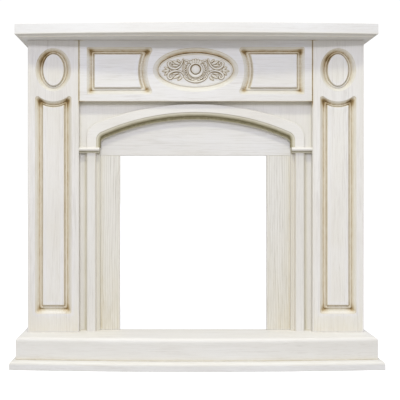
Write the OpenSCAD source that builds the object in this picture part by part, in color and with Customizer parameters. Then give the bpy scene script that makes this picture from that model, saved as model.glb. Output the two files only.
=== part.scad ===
// Fireplace mantelpiece: a free-standing wooden surround for a firebox
// insert.  Millimetres, +Z up, front towards -Y, origin on the floor in the
// middle of the footprint.

/* [Overall] */
// Depth from the middle of the bowed hearth board to the open back
depth = 400; // [380:5:440]
// How far the bowed boards swell forward in the middle
bow = 28; // [15:1:40]

/* [Hearth board] */
// Half width of the hearth board
hearth_hw = 575; // [568:1:600]
// Thickness of the hearth board
hearth_t = 26; // [22:1:32]
// Radius of its top edge
hearth_r = 10; // [4:1:12]
// How far its ends stand in front of the pilasters
hearth_out = 125; // [115:1:135]

/* [Plinth] */
// Half width of the plinth
plinth_hw = 560; // [552:1:566]
// Height of the plinth's top above the floor
plinth_top_z = 95; // [85:1:110]
// How far the plinth's ends stand in front of the pilasters
plinth_out = 95; // [85:1:105]
// Radius of the plinth's top edge
plinth_r = 12; // [6:1:14]
// Thickness of the plinth's top board
plinth_board_t = 22; // [18:1:26]
// Thickness of the plinth's apron and ends
plinth_wall = 18; // [12:1:22]

/* [Outer pilasters] */
// Inner edge of a pilaster, from the middle
pil_in = 374; // [370:1:378]
// Outer edge of a pilaster, from the middle
pil_out = 538; // [530:1:545]
// Thickness of a pilaster and of the frieze
pil_t = 28; // [24:1:32]
// Half width of the long panel's moulding
panel_hw = 57.5; // [50:0.5:62]
// Bottom of the long panel's moulding
panel_zb = 154.6; // [140:0.2:180]
// Top of the long panel's moulding, at its ears
panel_zt = 850; // [820:1:855]
// Lowest point of the long panel's hollowed top
panel_zm = 833; // [800:1:838]
// Height of the oval's centre
oval_z = 935; // [930:1:940]
// Half width of the oval's moulding
oval_a = 56.6; // [50:0.2:60]
// Half height of the oval's moulding
oval_b = 68.5; // [60:0.5:72]
// Depth of the routed mouldings
groove_d = 9; // [6:0.5:12]

/* [Frieze] */
// Bottom of the frieze
frieze_z0 = 834; // [828:1:840]
// Underside of the shelf
soffit_z = 1030.5; // [1026:0.5:1034]
// Half width of the medallion's moulding
med_a = 136; // [120:1:138]
// Half height of the medallion's moulding
med_b = 70; // [60:1:74]

/* [Shelf] */
// Half width of the shelf
shelf_hw = 570; // [560:1:590]
// Top of the shelf
shelf_z = 1072; // [1066:1:1080]
// How far the shelf's ends stand in front of the pilasters
shelf_out = 60; // [50:1:70]
// Height of the hollow moulding under the shelf's edge
shelf_cove_h = 8.5; // [6:0.5:12]
// Depth of the hollow moulding under the shelf's edge
shelf_cove_d = 14; // [8:1:20]

/* [Inner arch] */
// Half width between the legs
arch_hw = 321; // [318:1:326]
// Top of the arch's face edge
arch_z = 802; // [796:1:806]
// Radius of the arch
arch_r = 753; // [740:1:800]
// Small radius where the arch meets the legs
arch_cr = 29; // [20:1:34]
// Outer edge of the archivolt at the springing
arch_out_hw = 351; // [346:1:356]
// Step from the portal board's face to the archivolt's face
arch_step = 12; // [8:1:16]
// Half width of the opening in the portal board
portal_hw = 309; // [306:1:312]
// Top of the opening in the portal board
portal_z = 778; // [772:1:784]
// Thickness of the portal board
portal_t = 16; // [12:1:20]
// Underside of the capitals
cap_z0 = 675; // [670:1:680]
// Top of the capitals
cap_z1 = 687; // [684:1:690]

/* [Firebox surround] */
// Left side of the firebox opening, from the middle
fire_left = 245; // [225:1:250]
// Right side of the firebox opening, from the middle
fire_right = 233; // [220:1:245]
// Top of the firebox opening
fire_z = 662; // [640:1:668]
// Thickness of the surround panels
surr_t = 16; // [12:1:22]

/* [Sides] */
// Thickness of the side cheeks
cheek_t = 16; // [12:1:22]

/* [Hidden] */
// Y of the pilasters' front face
Y0 = -depth / 2 + hearth_out + bow;
YB = depth / 2;
step_y = pil_t;             // portal board's face, behind the pilasters' face
surr_y = pil_t + portal_t;  // surround's face
pil_x = (pil_in + pil_out) / 2;
cream = [0.90, 0.885, 0.865];

function lerp(a, b, t) = a + (b - a) * t;
function arc(cx, cz, r, a0, a1, n) =
  [for (i = [0:n]) let (a = a0 + (a1 - a0) * i / n) [cx + r * cos(a), cz + r * sin(a)]];
function ellipse(a, b, cx, cz, n) =
  [for (i = [0:n - 1]) let (w = 360 * i / n) [cx + a * cos(w), cz + b * sin(w)]];

// Outline of a panel whose top is hollowed by an arc between two round ears.
// hw half width, zb bottom, zt top of the ears, zm lowest point of the
// hollow, rb bottom corner radius, re ear radius.
function eared(hw, zb, zt, zm, rb, re) =
  let (ex = hw - re, ez = zt - re,
       zc = (ex * ex + ez * ez - (re - zm) * (re - zm)) / (2 * (ez + re - zm)),
       th = atan2(zc - ez, -ex), r = zc - zm)
  concat(arc(hw - rb, zb + rb, rb, -90, 0, 4),
         arc(ex, ez, re, 0, th, 6),
         [for (i = [1:11]) let (a = (th - 180) + (-180 - 2 * (th - 180)) * i / 12)
            [r * cos(a), zc + r * sin(a)]],
         arc(-ex, ez, re, 180 - th, 180, 6),
         arc(rb - hw, zb + rb, rb, 180, 270, 4));

// Solid between rings of points: each ring is [outline, y].
module loft(rings) {
  n = len(rings[0][0]);
  m = len(rings);
  polyhedron(
    points = [for (r = rings, p = r[0]) [p[0], r[1], p[1]]],
    faces = concat(
      [[for (i = [n - 1:-1:0]) i]],
      [for (k = [0:m - 2], i = [0:n - 1]) let (j = (i + 1) % n)
         [k * n + i, k * n + j, (k + 1) * n + j]],
      [for (k = [0:m - 2], i = [0:n - 1]) let (j = (i + 1) % n)
         [k * n + i, (k + 1) * n + j, (k + 1) * n + i]],
      [[for (i = [0:n - 1]) (m - 1) * n + i]]));
}

// Cutter for the long panel: the outline steps in through an ogee, a quirk
// and a quarter hollow up to the raised field.
function panel_ring(t) = eared(panel_hw - t, panel_zb + t * 1.12,
  lerp(panel_zt, panel_zt - 30, t / 25), lerp(panel_zm, panel_zm - 19, t / 25),
  lerp(7, 2, t / 25), lerp(7.5, 2, t / 25));
module panel_cut()
  loft([[panel_ring(0), -2], [panel_ring(0), 0.6], [panel_ring(4), 2.2],
        [panel_ring(8), 5.4], [panel_ring(10), groove_d - 0.6],
        [panel_ring(12), groove_d], [panel_ring(17), groove_d - 1.6],
        [panel_ring(22), groove_d - 4.6], [panel_ring(25), 2]]);

// Cutter for an oval moulding with a raised field.
module oval_cut()
  loft([for (s = [[0, 0, -2], [0, 0, 0.6], [4, 3, 2.2], [7.4, 5.6, 5.4],
                  [9, 6.8, groove_d - 0.6], [11, 8.4, groove_d],
                  [16, 12, groove_d - 1.6], [21, 16, groove_d - 4.6],
                  [24.6, 18.9, 2]])
        [ellipse(oval_a - s[0], oval_b - s[1], 0, oval_z, 40), s[2]]]);

module pilaster() color(cream)
  translate([0, Y0, 0]) difference() {
    translate([-(pil_out - pil_in) / 2, 0, plinth_top_z])
      cube([pil_out - pil_in, pil_t, soffit_z - plinth_top_z]);
    panel_cut();
    oval_cut();
  }
module pilaster_left() translate([-pil_x, 0, 0]) pilaster();
module pilaster_right() translate([pil_x, 0, 0]) pilaster();

// Frieze panels: the same eared outline, lying on its side.
fp_x0 = 348; fp_x1 = 140; fp_xm = 156; fp_hh = 75; fp_zc = 932;
function frieze_ring(t) =
  [for (p = eared(fp_hh - t * 0.93, -fp_x0 + t, lerp(-fp_x1, -fp_x1 - 38, t / 25),
                  lerp(-fp_xm, -fp_xm - 30, t / 25), lerp(4, 1.5, t / 25),
                  lerp(9, 2, t / 25))) [p[1], fp_zc - p[0]]];
function mirrored(ring) = [for (i = [len(ring) - 1:-1:0]) [-ring[i][0], ring[i][1]]];
panel_steps = [[0, -2], [0, 0.6], [4, 2.2], [8, 5.4], [10, groove_d - 0.6],
  [12, groove_d], [17, groove_d - 1.6], [22, groove_d - 4.6], [25, 2]];
med_steps = [[0, 0, -2], [0, 0, 0.6], [5, 4.6, 2.4], [11, 10.4, 5.6],
  [15, 14.4, 8.6], [17, 16.2, 9], [22, 21, 7.6]];

module frieze() color(cream)
  translate([0, Y0, 0]) difference() {
    translate([-pil_in, 0, frieze_z0])
      cube([2 * pil_in, pil_t, soffit_z - frieze_z0]);
    loft([for (s = panel_steps) [frieze_ring(s[0]), s[1]]]);
    loft([for (s = panel_steps) [mirrored(frieze_ring(s[0])), s[1]]]);
    loft([for (s = med_steps) [ellipse(med_a - s[0], med_b - s[1], 0, oval_z, 52), s[2]]]);
  }

// Tube of round section that tapers along a curl of points in the x-z plane.
function ring_at(p, d, r, k) = [for (i = [0:k - 1]) let (a = 360 * i / k)
  [p[0] - d[1] * r * cos(a), 7.6 - max(0.1, r * 1.15 * (0.55 + 0.45 * sin(a)) * 2), p[1] + d[0] * r * cos(a)]];
module scroll(cx, cz, r0, r1, a0, a1, w0, w1, n = 6, k = 4) {
  c = [for (i = [0:n]) let (t = i / n, a = lerp(a0, a1, t), r = lerp(r0, r1, t))
         [cx + r * cos(a), cz + r * sin(a)]];
  d = [for (i = [0:n]) let (p = c[max(0, i - 1)], q = c[min(n, i + 1)],
         l = norm(q - p)) (q - p) / l];
  pts = [for (i = [0:n]) each ring_at(c[i], d[i], lerp(w0, w1, i / n), k)];
  polyhedron(points = pts, faces = concat(
    [[for (i = [0:k - 1]) i]],
    [for (i = [0:n - 1], j = [0:k - 1]) let (m = (j + 1) % k)
       [i * k + j, (i + 1) * k + j, (i + 1) * k + m, i * k + m]],
    [[for (j = [k - 1:-1:0]) n * k + j]]));
}
module bead(x, z, r, h) hull() {
  translate([x, 7.6, z]) rotate([90, 0, 0]) cylinder(r = r, h = h * 0.5, $fn = 8);
  translate([x, 7.6, z]) rotate([90, 0, 0]) cylinder(r = r * 0.6, h = h, $fn = 8);
}
// Carved cartouche glued into the medallion: a round boss in a ring, bead
// rows, and paired scrolls that cross at each side.
module half_ornament() {
  scroll(57, 958, 15, 3, 150, 440, 3.2, 2.4);
  scroll(57, 912, 15, 3, 210, -80, 3.2, 2.4);
  scroll(84, 951, 12, 3, 200, 430, 2.8, 2);
  scroll(84, 919, 12, 3, 160, -70, 2.8, 2);
  scroll(70, 905, 34, 40, 62, 118, 2.2, 3);
  scroll(70, 965, 34, 40, -62, -118, 2.2, 3);
  for (i = [0:6]) bead(30 - 3 * abs(i - 3) / 3, 912 + 8 * i, 3, 5);
  hull() {
    translate([96, 7.6, 935]) rotate([90, 0, 0]) cylinder(r = 5, h = 4, $fn = 10);
    translate([108, 7.6, 939]) rotate([90, 0, 0]) cylinder(r = 1.2, h = 1.5, $fn = 10);
  }
}
module medallion_ornament() color([0.86, 0.83, 0.77])
  translate([0, Y0, 0]) {
    half_ornament();
    mirror([1, 0, 0]) half_ornament();
    bead(0, 936, 15, 6);
    scroll(0, 936, 21, 21, 200, 340, 3.6, 3.6);
    scroll(0, 936, 21, 21, 20, 160, 3, 3);
    bead(0, 907, 6, 5);
    bead(0, 964, 8, 5);
    // thin web that joins the carved parts
    translate([0, 7.6, 0]) rotate([90, 0, 0]) linear_extrude(1.2)
      polygon(ellipse(98, 31, 0, oval_z, 28));
  }

// Curve of the arch: one side line, a small corner arc, the main arc and
// back.  hw half width, zt crown, r main radius, cr corner radius, o offset
// outwards.
function arch_path(hw, zt, r, cr, o) =
  let (zm = zt - r, cx = hw - cr, cz = zm + sqrt((r - cr) * (r - cr) - cx * cx),
       a = atan2(cz - zm, cx))
  concat([[hw + o, cap_z1]], arc(cx, cz, cr + o, 0, a, 6),
         [for (i = [1:23]) let (w = a + (180 - 2 * a) * i / 24)
            [(r + o) * cos(w), zm + (r + o) * sin(w)]],
         arc(-cx, cz, cr + o, 180 - a, 180, 6), [[-hw - o, cap_z1]]);

module portal_board() color(cream)
  translate([0, Y0 + step_y + portal_t, 0]) rotate([90, 0, 0])
    linear_extrude(portal_t) difference() {
      translate([-400, plinth_top_z]) square([800, 885 - plinth_top_z]);
      polygon(concat([[portal_hw, plinth_top_z - 5]],
        arch_path(portal_hw, portal_z, 741, 25, 0), [[-portal_hw, plinth_top_z - 5]]));
    }

// Applied arch moulding.  Each row of [inner offset, share of the way to the
// outer edge, depth behind the pilasters' face] is one line of its section.
arch_section = [[-15, 0, 28], [-15, 0, 25.5], [-12.5, 0, 22], [-8.5, 0, 19.6],
  [-4.5, 0, 18.4], [-2, 0, 17.6], [-1.2, 0, 16.4], [1, 0, 16], [0, 0.93, 16],
  [0, 0.985, 16.8], [0, 1, 19], [0, 1, 28]];
module archivolt() color(cream)
  translate([0, Y0 + step_y - 28, 0]) {
    ins = [for (s = arch_section) arch_path(arch_hw, arch_z, arch_r, arch_cr, s[0])];
    outs = arch_path(arch_out_hw, arch_z + 25, 870, 50, 0);
    n = len(outs);
    k = len(arch_section);
    pts = [for (i = [0:n - 1]) each [for (j = [0:k - 1]) let (s = arch_section[j],
      p = lerp(ins[j][i], outs[i], s[1])) [p[0], s[2] == 28 ? 28 : s[2] + 12 - arch_step, p[1]]]];
    polyhedron(points = pts, faces = concat(
      [[for (j = [k - 1:-1:0]) j]],
      [for (i = [0:n - 2], j = [0:k - 1]) let (m = (j + 1) % k)
         [i * k + j, i * k + m, (i + 1) * k + m]],
      [for (i = [0:n - 2], j = [0:k - 1]) let (m = (j + 1) % k)
         [i * k + j, (i + 1) * k + m, (i + 1) * k + j]],
      [[for (j = [0:k - 1]) (n - 1) * k + j]]));
  }

// Rounded rectangle section of a leg: flat back, front corners of radius r.
function eased(x0, x1, y0, y1, r) = concat([[x1, y1], [x0, y1]],
  arc(x0 + r, y0 + r, r, 180, 270, 4), arc(x1 - r, y0 + r, r, 270, 360, 4));
module leg() color(cream)
  translate([0, Y0 + step_y, plinth_top_z]) linear_extrude(cap_z0 - 6 - plinth_top_z)
    polygon(eased(arch_hw, arch_out_hw, -arch_step, 0, 4));
module leg_right() leg();
module leg_left() mirror([1, 0, 0]) leg();

// Capital: a neck fillet under a half-round torus, run straight across.
module capital() color(cream)
  translate([portal_hw, Y0 + step_y, 0]) rotate([90, 0, 90])
    linear_extrude(pil_in - portal_hw)
      polygon(concat([[0, cap_z0 - 6], [0, cap_z1]],
        [for (p = arc(-18, (cap_z0 + cap_z1) / 2, (cap_z1 - cap_z0) / 2, 90, 270, 8)) p],
        [[-15, cap_z0], [-15, cap_z0 - 3], [-13, cap_z0 - 6]]));
module capital_right() capital();
module capital_left() mirror([1, 0, 0]) capital();

module surround_side(edge) color([0.86, 0.855, 0.85])
  translate([edge, Y0 + surr_y, plinth_top_z])
    cube([360 - edge, surr_t, fire_z - plinth_top_z]);
module surround_right() surround_side(fire_right);
module surround_left() mirror([1, 0, 0]) surround_side(fire_left);
module surround_head() color([0.86, 0.855, 0.85])
  translate([-360, Y0 + surr_y, fire_z]) cube([720, surr_t, 850 - fire_z]);

// Radius of a bow over half width hw.
function bow_r(hw) = (hw * hw + bow * bow) / (2 * bow);
// Plan outline of a bowed board, set in by e at the front and the ends.
function bowed_plan(hw, yf, e) =
  let (r = bow_r(hw), yc = Y0 - yf - bow + r, a = asin((hw - e) / (r - e)))
  concat([for (i = [0:24]) let (w = -a + 2 * a * i / 24)
            [(r - e) * sin(w), yc - (r - e) * cos(w)]],
         [[hw - e, YB], [e - hw, YB]]);
// Board with a bowed front and moulded edges.  edge is the edge's section:
// rows of [set back, height]; hw half width, yf front of the ends.
module bowed(hw, yf, edge) {
  n = len(bowed_plan(hw, yf, 0));
  m = len(edge);
  polyhedron(
    points = [for (e = edge, p = bowed_plan(hw, yf, e[0])) [p[0], p[1], e[1]]],
    faces = concat(
      [[for (i = [0:n - 1]) i]],
      [for (k = [0:m - 2], i = [0:n - 1]) let (j = (i + 1) % n)
         [k * n + i, (k + 1) * n + j, k * n + j]],
      [for (k = [0:m - 2], i = [0:n - 1]) let (j = (i + 1) % n)
         [k * n + i, (k + 1) * n + i, (k + 1) * n + j]],
      [[for (i = [n - 1:-1:0]) (m - 1) * n + i]]));
}
function round_edge(z0, z1, r, n) = concat([[0, z0]],
  [for (i = [0:n]) let (a = 90 * i / n) [r - r * cos(a), z1 - r + r * sin(a)]]);

module hearth_board() color(cream)
  bowed(hearth_hw, hearth_out, round_edge(0, hearth_t, hearth_r, 4));

module plinth_top() color(cream)
  difference() {
    bowed(plinth_hw, plinth_out,
          round_edge(plinth_top_z - plinth_board_t, plinth_top_z, plinth_r, 4));
    translate([-500, Y0 + surr_y + surr_t, 0])
      cube([1000, depth, plinth_top_z + 50]);
  }
module plinth_apron() color(cream) {
  r = bow_r(plinth_hw);
  translate([0, 0, hearth_t]) linear_extrude(plinth_top_z - plinth_board_t - hearth_t)
    intersection() {
      translate([0, Y0 - plinth_out - bow + r]) difference() {
        circle(r = r, $fn = 720);
        circle(r = r - plinth_wall, $fn = 720);
      }
      translate([-plinth_hw, Y0 - plinth_out - bow - 1])
        square([2 * plinth_hw, bow + plinth_wall + 6]);
    }
}
module plinth_end() color(cream)
  translate([plinth_hw - plinth_wall, Y0 - plinth_out + plinth_wall + 0.2, hearth_t])
    cube([plinth_wall, YB - (Y0 - plinth_out + plinth_wall + 0.2),
          plinth_top_z - plinth_board_t - hearth_t]);
module plinth_end_right() plinth_end();
module plinth_end_left() mirror([1, 0, 0]) plinth_end();

module side_cheek() color(cream)
  translate([pil_out - cheek_t, Y0 + pil_t, plinth_top_z])
    cube([cheek_t, YB - Y0 - pil_t, soffit_z - plinth_top_z]);
module side_cheek_right() side_cheek();
module side_cheek_left() mirror([1, 0, 0]) side_cheek();

// Shelf: a square front edge over a hollow moulding.
module mantel_shelf() color([0.93, 0.925, 0.92])
  bowed(shelf_hw, shelf_out, concat(
    [for (i = [0:5]) let (a = 90 * i / 5)
       [shelf_cove_d * cos(a), soffit_z + shelf_cove_h * sin(a)]],
    [[0, shelf_z - 2], [0.8, shelf_z - 0.6], [2.2, shelf_z]]));

hearth_board();
plinth_top();
plinth_apron();
plinth_end_left();
plinth_end_right();
pilaster_left();
pilaster_right();
side_cheek_left();
side_cheek_right();
frieze();
medallion_ornament();
portal_board();
archivolt();
leg_left();
leg_right();
capital_left();
capital_right();
surround_left();
surround_right();
surround_head();
mantel_shelf();
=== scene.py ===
import math

import bpy
import numpy as np
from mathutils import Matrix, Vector
from mathutils.geometry import delaunay_2d_cdt


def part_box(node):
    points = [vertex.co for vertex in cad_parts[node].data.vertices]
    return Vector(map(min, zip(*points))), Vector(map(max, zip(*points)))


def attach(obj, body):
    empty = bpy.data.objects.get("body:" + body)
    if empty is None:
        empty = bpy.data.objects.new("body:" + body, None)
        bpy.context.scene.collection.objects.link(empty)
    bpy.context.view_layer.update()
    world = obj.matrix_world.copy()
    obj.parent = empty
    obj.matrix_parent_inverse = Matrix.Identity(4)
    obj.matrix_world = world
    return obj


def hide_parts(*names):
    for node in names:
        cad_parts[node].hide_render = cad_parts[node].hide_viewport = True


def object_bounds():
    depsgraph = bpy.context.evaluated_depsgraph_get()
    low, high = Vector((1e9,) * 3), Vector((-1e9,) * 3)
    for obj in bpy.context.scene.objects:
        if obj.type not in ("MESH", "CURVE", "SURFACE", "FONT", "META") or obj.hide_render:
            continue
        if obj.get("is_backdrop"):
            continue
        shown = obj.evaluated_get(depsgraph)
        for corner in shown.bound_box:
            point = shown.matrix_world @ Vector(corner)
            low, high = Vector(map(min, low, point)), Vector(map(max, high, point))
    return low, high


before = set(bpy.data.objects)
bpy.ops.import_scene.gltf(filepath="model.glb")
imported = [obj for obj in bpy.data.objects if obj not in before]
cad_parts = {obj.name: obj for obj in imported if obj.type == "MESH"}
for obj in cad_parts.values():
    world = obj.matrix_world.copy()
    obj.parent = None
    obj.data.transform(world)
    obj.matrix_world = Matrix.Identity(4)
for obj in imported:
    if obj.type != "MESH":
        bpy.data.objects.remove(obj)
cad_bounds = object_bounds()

MM = 0.001
scene = bpy.context.scene
rng = np.random.default_rng(7)


def plain(value):
    """Bounds as plain lists of numbers."""
    if isinstance(value, (int, float)):
        return float(value)
    return [plain(v) for v in value]


# ---------------------------------------------------------------- positions
def mm_box(node):
    lo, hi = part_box(node)
    return np.array(lo) * 1000, np.array(hi) * 1000


PIL = mm_box("pilaster_right")
FRZ = mm_box("frieze")
SHELF = mm_box("mantel_shelf")
HEARTH = mm_box("hearth_board")
PTOP = mm_box("plinth_top")
PAPR = mm_box("plinth_apron")
PORTAL = mm_box("portal_board")
ARCHV = mm_box("archivolt")
LEG = mm_box("leg_right")
CAP = mm_box("capital_right")
SUR = mm_box("surround_right")
SUR_L = mm_box("surround_left")
HEAD = mm_box("surround_head")
CHEEK = mm_box("side_cheek_right")
PEND = mm_box("plinth_end_right")
ORN = mm_box("medallion_ornament")

Y0 = PIL[0][1]          # front of the pilasters and the frieze
YB = HEARTH[1][1]       # open back
PIL_IN, PIL_OUT = PIL[0][0], PIL[1][0]
PIL_X = (PIL_IN + PIL_OUT) / 2
SOFFIT = FRZ[1][2]
OVAL_Z = 935.0

# ------------------------------------------------------------------- camera
cam_data = bpy.data.cameras.new("camera")
cam_data.sensor_width = 36.0
cam_data.lens = 75.9
cam_data.shift_x = 0.0875
cam_data.shift_y = -0.025
cam = bpy.data.objects.new("camera", cam_data)
cam.location = (-0.0984, (Y0 - 2700) * MM, 0.550)
cam.rotation_euler = (math.radians(90), 0, 0)
scene.collection.objects.link(cam)
scene.camera = cam


# ------------------------------------------------------------------ colours
def lin(r, g, b):
    def f(c):
        c /= 255.0
        return c / 12.92 if c <= 0.04045 else ((c + 0.055) / 1.055) ** 2.4
    return (f(r), f(g), f(b), 1.0)


# ---------------------------------------------------------------- materials
def paint(name, grain="z", seed=0.0, cream=(229, 227, 225), grain_tone=(196, 191, 188),
          streak=0.42, pores=0.6, cathedral=0.0, patina_gain=1.0, gloss=0.42,
          bump=0.35, olive=False, follow=0.45, blotch=0.6):
    """Satin paint over open-pored oak: streaks and pores run along the grain
    axis, and the per-vertex patina values bring in the gold-brown glaze; in places
    these values are painted shade rather than glaze."""
    m = bpy.data.materials.new(name)
    m.use_nodes = True
    nt = m.node_tree
    nt.nodes.clear()
    N, L = nt.nodes.new, nt.links.new
    out = N("ShaderNodeOutputMaterial")
    bsdf = N("ShaderNodeBsdfPrincipled")
    L(bsdf.outputs["BSDF"], out.inputs["Surface"])
    tc = N("ShaderNodeTexCoord")
    shift = N("ShaderNodeVectorMath")
    shift.operation = "ADD"
    shift.inputs[1].default_value = (seed * 1.37, seed * 0.61, seed * 2.13)
    L(tc.outputs["Object"], shift.inputs[0])

    def scaled(vec, hi, lo):
        s = N("ShaderNodeVectorMath")
        s.operation = "MULTIPLY"
        s.inputs[1].default_value = (hi, hi, lo) if grain == "z" else (lo, hi, hi)
        L(vec, s.inputs[0])
        return s.outputs["Vector"]

    def noise(vec, detail=2.0, rough=0.5, scale=1.0, lac=2.0):
        n = N("ShaderNodeTexNoise")
        n.inputs["Scale"].default_value = scale
        n.inputs["Detail"].default_value = detail
        n.inputs["Roughness"].default_value = rough
        n.inputs["Lacunarity"].default_value = lac
        L(vec, n.inputs["Vector"])
        return n

    def ramp(val, a, b, lo=0.0, hi=1.0):
        r = N("ShaderNodeMapRange")
        r.inputs["From Min"].default_value = a
        r.inputs["From Max"].default_value = b
        r.inputs["To Min"].default_value = lo
        r.inputs["To Max"].default_value = hi
        r.interpolation_type = "SMOOTHSTEP"
        L(val, r.inputs["Value"])
        return r.outputs["Result"]

    def mathn(op, a, b):
        n = N("ShaderNodeMath")
        n.operation = op
        for k, v in enumerate((a, b)):
            if isinstance(v, (int, float)):
                n.inputs[k].default_value = v
            else:
                L(v, n.inputs[k])
        return n.outputs["Value"]

    def mix(fac, a, b):
        n = N("ShaderNodeMix")
        n.data_type = "RGBA"
        if isinstance(fac, (int, float)):
            n.inputs["Factor"].default_value = fac
        else:
            L(fac, n.inputs["Factor"])
        for k, v in ((6, a), (7, b)):
            if isinstance(v, tuple):
                n.inputs[k].default_value = v
            else:
                L(v, n.inputs[k])
        return n.outputs[2]

    # slow wander of the grain lines
    warp = noise(scaled(shift.outputs["Vector"], 7.0, 1.6), 2.0, 0.5)
    wc = N("ShaderNodeVectorMath")
    wc.operation = "SUBTRACT"
    wc.inputs[1].default_value = (0.5, 0.5, 0.5)
    L(warp.outputs["Color"], wc.inputs[0])
    ws = N("ShaderNodeVectorMath")
    ws.operation = "SCALE"
    ws.inputs["Scale"].default_value = 0.030
    L(wc.outputs["Vector"], ws.inputs[0])
    wa = N("ShaderNodeVectorMath")
    wa.operation = "ADD"
    L(shift.outputs["Vector"], wa.inputs[0])
    L(ws.outputs["Vector"], wa.inputs[1])
    warped = wa.outputs["Vector"]

    fine = noise(scaled(warped, 560.0, 26.0), 2.0, 0.6)
    pore = ramp(fine.outputs["Fac"], 0.53, 0.70)
    mid = noise(scaled(warped, 260.0, 9.0), 3.0, 0.64)
    lines = ramp(mid.outputs["Fac"], 0.44, 0.68)
    clus = noise(scaled(warped, 34.0, 3.0), 2.0, 0.5)
    cluster = ramp(clus.outputs["Fac"], 0.35, 0.65, 0.35, 1.0)
    g = mathn("ADD", mathn("MULTIPLY", lines, streak), mathn("MULTIPLY", pore, pores * 0.5))
    g = mathn("MULTIPLY", g, cluster)
    if cathedral:
        wav = N("ShaderNodeTexWave")
        wav.wave_type = "RINGS"
        wav.rings_direction = "X" if grain != "z" else "Z"
        wav.wave_profile = "SIN"
        wav.inputs["Scale"].default_value = 1.0
        wav.inputs["Distortion"].default_value = 5.0
        wav.inputs["Detail"].default_value = 2.0
        wav.inputs["Detail Scale"].default_value = 1.2
        L(scaled(warped, 44.0, 3.4), wav.inputs["Vector"])
        rings = ramp(wav.outputs["Fac"], 0.55, 0.95)
        g = mathn("ADD", g, mathn("MULTIPLY", rings, cathedral))
    g = mathn("MINIMUM", g, 1.0)

    broad = noise(scaled(shift.outputs["Vector"], 9.0, 3.0), 2.0, 0.5)
    tone = ramp(broad.outputs["Fac"], 0.3, 0.7)
    c0 = lin(*cream)
    c1 = lin(cream[0] - 5, cream[1] - 6, cream[2] - 8)
    base = mix(tone, c0, c1)
    base = mix(g, base, lin(*grain_tone))

    # the patina attribute holds real glaze and, in places, painted shade
    att = N("ShaderNodeAttribute")
    att.attribute_name = "patina_and_shade"
    blot = noise(scaled(shift.outputs["Vector"], 120.0, 45.0), 3.0, 0.65)
    wear = ramp(blot.outputs["Fac"], 0.25, 0.75, 1.0 - 0.28 * blotch, 1.0 + 0.22 * blotch)
    grainy = mathn("ADD", 1.0, mathn("MULTIPLY", mathn("SUBTRACT", g, 0.25), follow))
    p = mathn("MULTIPLY", mathn("MULTIPLY", att.outputs["Fac"], patina_gain),
              mathn("MULTIPLY", wear, grainy))
    p = mathn("MINIMUM", p, 1.0)
    cr = N("ShaderNodeValToRGB")
    e = cr.color_ramp.elements
    # the olive ramp (portal board, archivolt) is greyed to match the shade in the arch moulding: partly painted
    # shade, partly glaze
    glaze = (((0.0, (216, 212, 192)), (0.30, (196, 189, 158)), (0.55, (164, 156, 122)),
              (0.80, (126, 118, 86)), (1.0, (91, 84, 56))) if olive else
             ((0.0, (218, 214, 188)), (0.30, (205, 192, 154)), (0.55, (176, 154, 110)),
              (0.80, (136, 112, 70)), (1.0, (98, 77, 44))))
    e[0].position, e[0].color = glaze[0][0], lin(*glaze[0][1])
    e[1].position, e[1].color = glaze[-1][0], lin(*glaze[-1][1])
    for pos, c in glaze[1:-1]:
        k = e.new(pos)
        k.color = lin(*c)
    L(p, cr.inputs["Fac"])
    # thin glaze tints, thick glaze covers
    cover = mathn("POWER", mathn("MINIMUM", mathn("MULTIPLY", p, 1.35), 1.0), 0.85)
    col = mix(cover, base, cr.outputs["Color"])
    L(col, bsdf.inputs["Base Color"])

    rough = mathn("ADD", gloss, mathn("MULTIPLY", g, 0.14))
    rough = mathn("ADD", rough, mathn("MULTIPLY", p, 0.18))
    L(rough, bsdf.inputs["Roughness"])
    bsdf.inputs["Specular IOR Level"].default_value = 0.35

    hgt = mathn("ADD", mathn("MULTIPLY", pore, -0.6), mathn("MULTIPLY", lines, -0.4))
    bn = N("ShaderNodeBump")
    bn.inputs["Strength"].default_value = bump
    bn.inputs["Distance"].default_value = 0.00035
    L(hgt, bn.inputs["Height"])
    L(bn.outputs["Normal"], bsdf.inputs["Normal"])
    return m


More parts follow.
